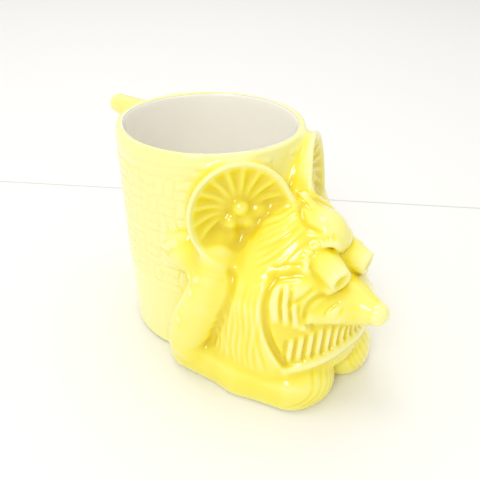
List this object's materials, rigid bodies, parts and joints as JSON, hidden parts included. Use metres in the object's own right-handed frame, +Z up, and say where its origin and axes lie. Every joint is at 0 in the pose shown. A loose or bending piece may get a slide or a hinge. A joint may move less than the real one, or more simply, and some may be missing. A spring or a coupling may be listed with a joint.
{
  "type": "figural ceramic mug",
  "caption": "Round ceramic mug with a long-nosed grinning creature clinging to its front and a looped tail handle behind.",
  "frame": {"origin": "centre of the cup's foot ring, on the floor", "axes": "+Z up along the cup's axis, the creature faces -Y, its left side is at +X"},
  "size_m": [0.098, 0.1819, 0.105],
  "materials": {
    "yellow_glaze": "glossy transparent yellow glaze, deeper in the hollows",
    "golden_glaze": "the same glaze pooled thicker, golden",
    "white_glaze": "glossy white",
    "bare_clay": "matt unglazed"
  },
  "bodies": {
    "root": {"cup_wall": "yellow_glaze", "inner_glaze": "white_glaze", "foot_ring": "bare_clay", "rim_bands": "yellow_glaze", "border_band": "yellow_glaze", "weave_left": "yellow_glaze", "weave_right": "yellow_glaze", "head": "yellow_glaze", "hair_tuft": "yellow_glaze", "brow_lobe": "yellow_glaze", "ear_left": "yellow_glaze", "ear_right": "yellow_glaze", "ear_flutes_left": "golden_glaze", "ear_flutes_right": "golden_glaze", "eye_socket_left": "yellow_glaze", "eye_socket_right": "yellow_glaze", "eye_left": "yellow_glaze", "eye_right": "yellow_glaze", "nose": "yellow_glaze", "upper_teeth_left": "yellow_glaze", "upper_teeth_right": "yellow_glaze", "lower_teeth": "yellow_glaze", "lower_lip": "yellow_glaze", "cheek_hair_left": "yellow_glaze", "cheek_hair_right": "yellow_glaze", "arm_left": "yellow_glaze", "arm_right": "yellow_glaze", "hand_left": "yellow_glaze", "hand_right": "yellow_glaze", "leg_left": "yellow_glaze", "leg_right": "yellow_glaze", "foot_left": "yellow_glaze", "foot_right": "yellow_glaze", "handle": "yellow_glaze"}
  },
  "joints": []
}
